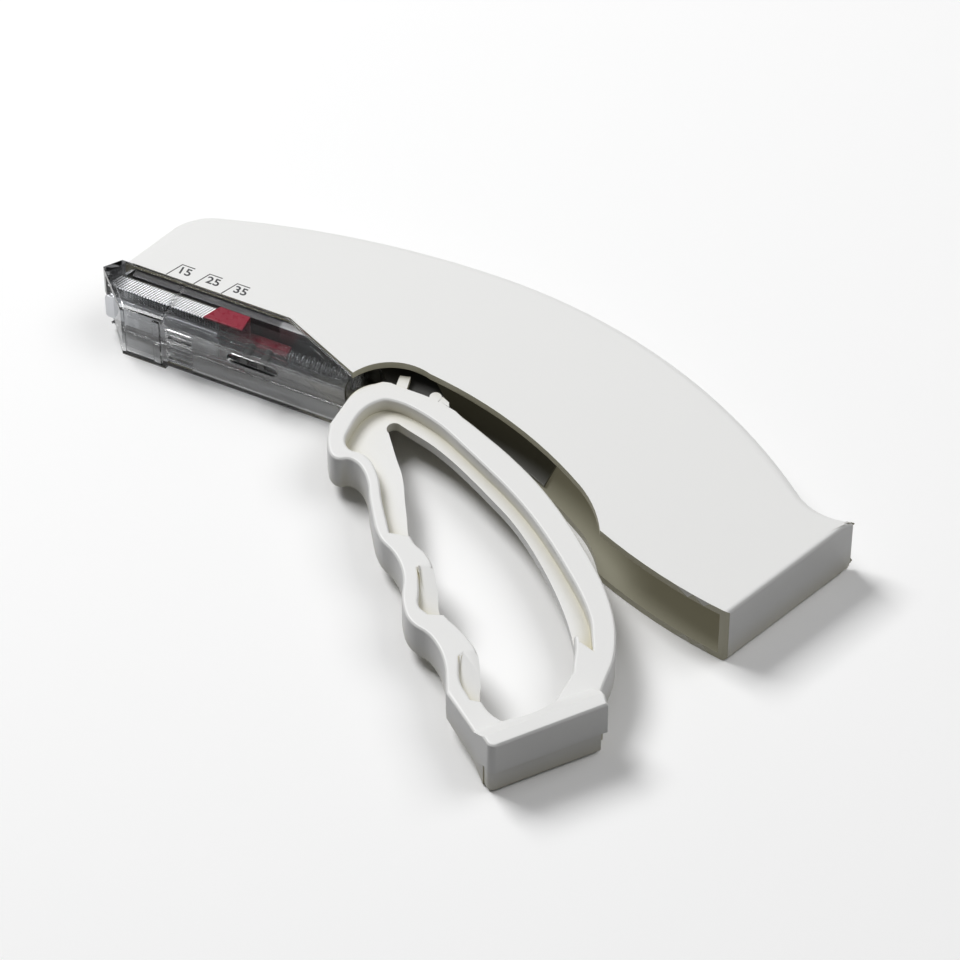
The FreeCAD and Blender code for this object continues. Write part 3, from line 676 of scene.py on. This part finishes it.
def on_a_rim(edge):
    """Whether the edge borders a flat side of the loop, away from the small steps."""
    x, y, z = on_track(middle_of(edge))
    beside_flat = any(abs(face.normal.z) > FLAT_ON_TOP for face in edge.link_faces)
    small_steps = STEPS_FROM < x < STEPS_TO and y > STEPS_ABOVE
    return beside_flat and abs(z) > TOP_OF_GRIP and not small_steps


def shape_trigger(shape):
    swell_arc(shape)
    let_out_foot(shape)
    round_edges(shape, toe_corner, TOE_ROUNDING)
    round_edges(shape, on_a_rim, RIM_ROUNDING, RIM_STEPS)


loop = rounded_copy("squeeze_trigger", "trigger", FINE_ROUNDING, shaping=shape_trigger)
trigger = give(loop, white_plastic, "trigger_body", "white_plastic", "trigger")
print("trigger faces:", len(trigger.data.polygons))

# %% [markdown]
# ## Clear pieces
#
# The covers, the tray and the rail are small mouldings with fine roundings. Their flat faces stay
# cut into triangles, because dissolving them would leave faces that close over the slots.

# %% Nose covers, tray and rail
for node, width, material in (
    ("nose_cover_left", 0.2, clear_plastic),
    ("nose_cover_right", 0.2, clear_plastic),
    ("magazine_base", 0.15, clear_inside),
    ("staple_rail", 0.15, clear_inside),
):
    moulded = rounded_copy(node + "_moulded", node, width, dissolve=False)
    give(moulded, material, "housing_body", "clear_plastic", node)
    print(moulded.name, "faces:", len(moulded.data.polygons))

# %% [markdown]
# ## Steel and dark pieces
#
# Stamped plates keep crisp edges and get the narrowest roundings, moulded levers wider ones. One
# table says for each piece how wide, of what, and on which moving body it rides.

# %% Plates, pins, lever and pusher
for node, width, material, body, slot in (
    ("anvil", 0.08, strip_steel, "housing_body", "steel"),
    ("track_cover", 0.12, dark_steel, "housing_body", "dark_steel"),
    ("frame_left", 0.08, plate_steel, "housing_body", "dark_steel"),
    ("frame_right", 0.08, plate_steel, "housing_body", "dark_steel"),
    ("frame_rivets", 0.1, strip_steel, "housing_body", "steel"),
    ("pivot_pin", 0.2, strip_steel, "housing_body", "steel"),
    ("base_pegs", 0.15, dark_plastic, "housing_body", "dark_plastic"),
    ("ram", 0.06, strip_steel, "ram_body", "steel"),
    ("ram_carrier", 0.2, dark_plastic, "ram_body", "dark_plastic"),
    ("carrier_rivets", 0.08, strip_steel, "ram_body", "steel"),
    ("link_pin", 0.1, strip_steel, "trigger_body", "steel"),
    ("drive_lever", 0.25, dark_plastic, "trigger_body", "dark_plastic"),
    ("lever_pins", 0.1, strip_steel, "trigger_body", "steel"),
    ("pusher", 0.22, red_plastic, "pusher_body", "red_plastic"),
):
    finished = rounded_copy(node + "_finished", node, width)
    give(finished, material, body, slot, node)
    print(finished.name, "faces:", len(finished.data.polygons))

# %% [markdown]
# ## The row of staples
#
# A staple is one length of round wire: two legs and a crown with two tight corners. Geometry Nodes
# suits a row of equal pieces. One staple's centre line is given a round profile and set out along
# the track at equal steps. The step, the count and the wire are named inputs of the tree.

# %% A staple's centre line
CORNER = WIRE * 1.1
CORNER_MIDDLE = 0.29


def staple_line():
    """Centre line of one open staple, its crown across the track at the origin."""
    half = (STAPLE_WIDTH - WIRE) / 2
    tip = -(LEG_LENGTH - WIRE / 2)
    near = CORNER * CORNER_MIDDLE
    flat = [(-half, tip), (-half, -CORNER), (-half + near, -near), (-half + CORNER, 0)]
    flat += [(-across, up) for across, up in reversed(flat)]
    return [ALONG_LEG * up * MM + Vector((0, 0, across * MM)) for across, up in flat]


def curve_object(name, points):
    """Straight-sided curve through points."""
    curve = bpy.data.curves.new(name, "CURVE")
    curve.dimensions = "3D"
    spline = curve.splines.new("POLY")
    spline.points.add(len(points) - 1)
    for point, place in zip(spline.points, points):
        point.co = (*place, 1)
    return link(name, curve)


print("points in a staple's line:", len(staple_line()))


# %% A small helper for node trees
class Tree:
    """A Geometry Nodes tree with named inputs."""

    def __init__(self, name, inputs):
        self.group = bpy.data.node_groups.new(name, "GeometryNodeTree")
        sockets = self.group.interface
        sockets.new_socket("Geometry", in_out="INPUT", socket_type="NodeSocketGeometry")
        self.keys = {}
        for label, (kind, value) in inputs.items():
            made = sockets.new_socket(label, in_out="INPUT", socket_type=kind)
            made.default_value = value
            self.keys[label] = made.identifier
        sockets.new_socket("Geometry", in_out="OUTPUT", socket_type="NodeSocketGeometry")
        self.given = self.group.nodes.new("NodeGroupInput")

    def input(self, label):
        return self.given.outputs[label]

    def node(self, kind, settings=None, inputs=None):
        """A new node. Its settings are set first, then its sockets. Returns its first output."""
        made = self.group.nodes.new(kind)
        for name, value in (settings or {}).items():
            setattr(made, name, value)
        for name, value in (inputs or {}).items():
            if isinstance(value, bpy.types.NodeSocket):
                self.group.links.new(value, made.inputs[name])
            else:
                made.inputs[name].default_value = value
        return made.outputs[0]

    def finish(self, geometry, material):
        """Ends the tree in real geometry with a material."""
        real = self.node("GeometryNodeRealizeInstances", None, {"Geometry": geometry})
        painted = self.node("GeometryNodeSetMaterial", None, {"Geometry": real, "Material": material})
        result = self.group.nodes.new("NodeGroupOutput")
        self.group.links.new(painted, result.inputs[0])

    def apply(self, name, obj, values):
        """The tree's result on an object, as a plain smooth mesh."""
        modifier = obj.modifiers.new(name, "NODES")
        modifier.node_group = self.group
        for label, value in values.items():
            modifier[self.keys[label]] = value
        made = plain_mesh(name, obj)
        made.data.shade_smooth()
        return made


# %% The tree that makes round wire and sets it out
WIRE_SIDES = 8
FILLET_STEPS = 2
CORNER_FILLET = 0.2 * MM

wires = Tree(
    "staple_row",
    {
        "Count": ("NodeSocketInt", 1),
        "Step": ("NodeSocketVector", (0, 0, 0)),
        "Wire Radius": ("NodeSocketFloat", 0.001),
    },
)
line = wires.node(
    "GeometryNodeFilletCurve",
    {"mode": "POLY"},
    {"Curve": wires.input("Geometry"), "Count": FILLET_STEPS, "Radius": CORNER_FILLET},
)
profile = wires.node(
    "GeometryNodeCurvePrimitiveCircle",
    None,
    {"Resolution": WIRE_SIDES, "Radius": wires.input("Wire Radius")},
)
wire = wires.node(
    "GeometryNodeCurveToMesh", None, {"Curve": line, "Profile Curve": profile, "Fill Caps": True}
)
places = wires.node(
    "GeometryNodeMeshLine",
    {"mode": "OFFSET"},
    {"Count": wires.input("Count"), "Offset": wires.input("Step")},
)
set_out = wires.node("GeometryNodeInstanceOnPoints", None, {"Points": places, "Instance": wire})
wires.finish(set_out, staple_wire)
print("nodes in the tree:", len(wires.group.nodes))


# %% Row in the magazine and staple in the chamber
def staple_row(name, count, first_x):
    """Staples in a row that starts at a place on the track."""
    obj = wires.apply(
        name,
        curve_object(name + "_line", staple_line()),
        {"Count": count, "Step": (PITCH * MM, 0, 0), "Wire Radius": WIRE * MM / 2},
    )
    obj.data.transform(Matrix.Translation(at(first_x, CROWN_HEIGHT)))
    return obj


row = staple_row("staple_row", STAPLE_COUNT - 1, PITCH)
give(row, staple_wire, "housing_body", "staple_wire", "staples")
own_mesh(row)
loose = staple_row("chamber_staple", 1, 0)
give(loose, staple_wire, "ram_body", "staple_wire", "front_staple")
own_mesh(loose)
print("row:", len(row.data.polygons), "faces")

# %% [markdown]
# ## Springs
#
# Both springs are coils of round wire whose end turns lie closed. The centre line is a helix whose
# pitch changes at its ends; the same tree that makes the staples gives it its round wire. The feed
# spring lies between the pusher and the housing. The return spring is pressed by the trigger's
# lever.

# %% A coil's centre line
COIL_SIDES = 20
CLOSED_TURN = 1.1


def coil_line(radius, wire_mm, length, turns):
    """Helix along x from 0 in millimetres, its first and last turns closed."""
    closed = wire_mm * CLOSED_TURN
    free = (length - wire_mm - 2 * closed) / (turns - 2)
    points = []
    for k in range(COIL_SIDES * turns + 1):
        done = k / COIL_SIDES
        at_the_ends = min(done, 1) + max(done - turns + 1, 0)
        between = min(max(done - 1, 0), turns - 2)
        turn = 2 * math.pi * done
        x = wire_mm / 2 + closed * at_the_ends + free * between
        points.append(Vector((x, radius * math.cos(turn), radius * math.sin(turn))))
    return points


def coil(name, points, wire_mm):
    """Round wire along a coil's centre line."""
    sizes = {"Count": 1, "Step": (0, 0, 0), "Wire Radius": wire_mm * MM / 2}
    return wires.apply(name, curve_object(name + "_line", points), sizes)


# %% Feed spring, along the track
FEED_WIRE = 0.42
FEED_TURNS = 15

feed_low, feed_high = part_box("feed_spring")
feed_middle = (feed_low + feed_high) / 2
feed_radius = ((feed_high.z - feed_low.z) / MM - FEED_WIRE) / 2
feed_line = coil_line(feed_radius, FEED_WIRE, (feed_high.x - feed_low.x) / MM, FEED_TURNS)
feed_start = Vector((feed_low.x, feed_middle.y, feed_middle.z))
feed = coil("feed_coil", [feed_start + p * MM for p in feed_line], FEED_WIRE)
coat(feed, spring_steel)
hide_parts("feed_spring")
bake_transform(feed)
print("feed spring:", len(feed.data.polygons), "faces")

# %% Return spring, across the track
BACK_WIRE = 0.7
BACK_TURNS = 7

back_low, back_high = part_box("return_spring")
back_middle = (back_low + back_high) / 2
back_radius = ((back_high.z - back_low.z) / MM - BACK_WIRE) / 2
back_line = coil_line(back_radius, BACK_WIRE, (back_high.y - back_low.y) / MM, BACK_TURNS)
back_points = [
    Vector((back_middle.x + p.y * MM, back_low.y + p.x * MM, back_middle.z + p.z * MM)) for p in back_line
]
back = coil("return_coil", back_points, BACK_WIRE)
give(back, spring_steel, "housing_body", "spring_steel", "return_spring")
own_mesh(back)
print("return spring:", len(back.data.polygons), "faces")

# %% [markdown]
# ## Count marks
#
# Beside the row, the housing carries three printed marks with the number of staples that are left.
# Each is a thin line that leans as the staples do and then runs level over its number. A picture
# texture would need the housing unwrapped, so the marks are flat meshes instead. They are printed,
# so they stand only a hundredth of a millimetre proud.

# %% Lines
INK_THICKNESS = 0.012
MARK_FACE = HALF_HOUSING + INK_THICKNESS
MARK_WIDTH = 0.26


def flat_strip(name, points, width, z):
    """Thin flat band along a path on the housing's face, in track millimetres."""
    shape = bmesh.new()
    rails = []
    for i, (x, y) in enumerate(points):
        x0, y0 = points[max(i - 1, 0)]
        x1, y1 = points[min(i + 1, len(points) - 1)]
        length = math.hypot(x1 - x0, y1 - y0)
        side_x = -(y1 - y0) / length * width / 2
        side_y = (x1 - x0) / length * width / 2
        left = shape.verts.new(at(x + side_x, y + side_y, z))
        right = shape.verts.new(at(x - side_x, y - side_y, z))
        rails.append((left, right))
    for (a, b), (c, d) in zip(rails, rails[1:]):
        shape.faces.new((a, b, d, c))
    mesh = bpy.data.meshes.new(name)
    shape.to_mesh(mesh)
    shape.free()
    return link(name, mesh)


# %% Numbers
CAPITAL_SHARE = 0.7
INK_SPREAD = 0.06
LETTER_SPACE = 1.05
DIGIT_STRETCH = 1.12


def number(name, words, x, y, height, z):
    """Upright number on the housing's face, as a flat mesh centred on a place."""
    curve = bpy.data.curves.new(name + "_curve", "FONT")
    curve.body = words
    curve.size = height * MM / CAPITAL_SHARE
    curve.offset = INK_SPREAD * MM
    curve.space_character = LETTER_SPACE
    obj = plain_mesh(name, link(name + "_curve", curve))
    corners = [v.co for v in obj.data.vertices]
    centre = Vector([(min(c[i] for c in corners) + max(c[i] for c in corners)) / 2 for i in range(3)])
    to_place = Matrix.Translation(at(x, y, z))
    widened = Matrix.Diagonal((DIGIT_STRETCH, 1, 1, 1))
    obj.data.transform(to_place @ widened @ Matrix.Translation(-centre))
    return obj


# %% The three marks
MARK_STEP = 6.46
MARK_START = 8.7
MARK_BOTTOM = 11.82
LEAN_FROM = 11.8
MARK_TOP = 15.72
MARK_LEVEL = 3.0
DIGIT_PLACE = (12.15, 14.2)
DIGIT_HEIGHT = 1.9

for k, words in enumerate(("15", "25", "35")):
    foot_x = MARK_START + MARK_STEP * k
    top_x = foot_x + (MARK_TOP - LEAN_FROM) / math.tan(STAPLE_LEAN)
    path = [(foot_x, MARK_BOTTOM), (top_x, MARK_TOP), (top_x + MARK_LEVEL, MARK_TOP)]
    strip = flat_strip("mark_line_" + words, path, MARK_WIDTH, MARK_FACE)
    give(strip, mark_ink, "housing_body", "dark_plastic")
    digit_x = DIGIT_PLACE[0] + MARK_STEP * k
    digits = number("mark_" + words, words, digit_x, DIGIT_PLACE[1], DIGIT_HEIGHT, MARK_FACE)
    give(digits, mark_ink, "housing_body", "dark_plastic")
    print("mark", words, "at", round(foot_x, 2), "mm")

# %% [markdown]
# ## Studio
#
# The stapler lies on a plain white sweep under soft light. The floor looks white to the camera and
# in reflections but throws little light back up, so the upright faces stay greyer than the top.

# %% Floor
SWEEP_SIZE = 6
BELOW_THE_STAPLER = -0.05 * MM
SEEN_WHITE = (0.96, 0.96, 0.96, 1)
LIGHT_THROWN_BACK = (0.24, 0.24, 0.24, 1)


def make_floor():
    paint = Paint("white_sweep")
    white = paint.node("ShaderNodeBsdfDiffuse", None, {"Color": SEEN_WHITE})["BSDF"]
    grey = paint.node("ShaderNodeBsdfDiffuse", None, {"Color": LIGHT_THROWN_BACK})["BSDF"]
    rays = paint.node("ShaderNodeLightPath")
    seen = rays["Is Camera Ray"] + rays["Is Glossy Ray"] + rays["Is Transmission Ray"]
    material = paint.finish(paint.mixed(seen, grey, white))
    bpy.ops.mesh.primitive_plane_add(size=SWEEP_SIZE, location=(0, 0, BELOW_THE_STAPLER))
    floor = bpy.context.object
    floor.name = "sweep"
    floor.data.materials.append(material)


make_floor()


# %% Lamps and world
WORLD_LIGHT = 0.125


def soft_box(name, place, size, power):
    """A square lamp that faces the stapler."""
    lamp = bpy.data.lights.new(name, "AREA")
    lamp.shape = "SQUARE"
    lamp.size = size
    lamp.energy = power
    obj = link(name, lamp)
    obj.location = place
    obj.rotation_euler = (-Vector(place)).to_track_quat("-Z", "Y").to_euler()
    print(name, "power:", power, "W")


soft_box("key_light", (-0.64, 0.16, 1.0), 0.5, 10.9)
soft_box("top_light", (0.66, 0.40, 1.1), 0.8, 5.9)

world = bpy.data.worlds.new("studio")
world.use_nodes = True
sky = world.node_tree.nodes["Background"]
sky.inputs["Color"].default_value = (1, 1, 1, 1)
sky.inputs["Strength"].default_value = WORLD_LIGHT
bpy.context.scene.world = world

# %% [markdown]
# ## Camera
#
# The camera stands 24.7 degrees round to the right of the nose's side and looks down at 50.4
# degrees. A long lens keeps the perspective as weak as in the photograph. It is placed so that one
# known point of the housing's upper face falls on its pixel in a picture 960 pixels wide.

# %% Directions from the stapler to the camera
AZIMUTH = math.radians(24.7)
ELEVATION = math.radians(50.4)

level = math.cos(ELEVATION)
back_way = Vector((math.sin(AZIMUTH) * level, -math.cos(AZIMUTH) * level, math.sin(ELEVATION)))
right_way = Vector((math.cos(AZIMUTH), math.sin(AZIMUTH), 0))
up_way = back_way.cross(right_way)
print("towards the camera:", [round(value, 3) for value in back_way])

# %% Place the camera
PICTURE = 960
ANCHOR_PIXEL = (362, 400)
ANCHOR = at(61.2, -2.35, HALF_HOUSING)
DISTANCE = 1.1
PIXELS_PER_METRE = 4840
SENSOR = 36
NEAREST = 0.01
FARTHEST = 20

focal_pixels = PIXELS_PER_METRE * DISTANCE
aside = (ANCHOR_PIXEL[0] - PICTURE / 2) / focal_pixels * DISTANCE
above = (PICTURE / 2 - ANCHOR_PIXEL[1]) / focal_pixels * DISTANCE

lens = bpy.data.cameras.new("camera")
lens.sensor_width = SENSOR
lens.lens = SENSOR * focal_pixels / PICTURE
lens.clip_start = NEAREST
lens.clip_end = FARTHEST
camera = link("camera", lens)
camera.location = ANCHOR + back_way * DISTANCE - right_way * aside - up_way * above
camera.rotation_mode = "QUATERNION"
camera.rotation_quaternion = (-back_way).to_track_quat("-Z", "Y")
bpy.context.scene.camera = camera
bpy.context.scene.view_settings.view_transform = "Standard"
print("lens:", round(lens.lens, 1), "mm")
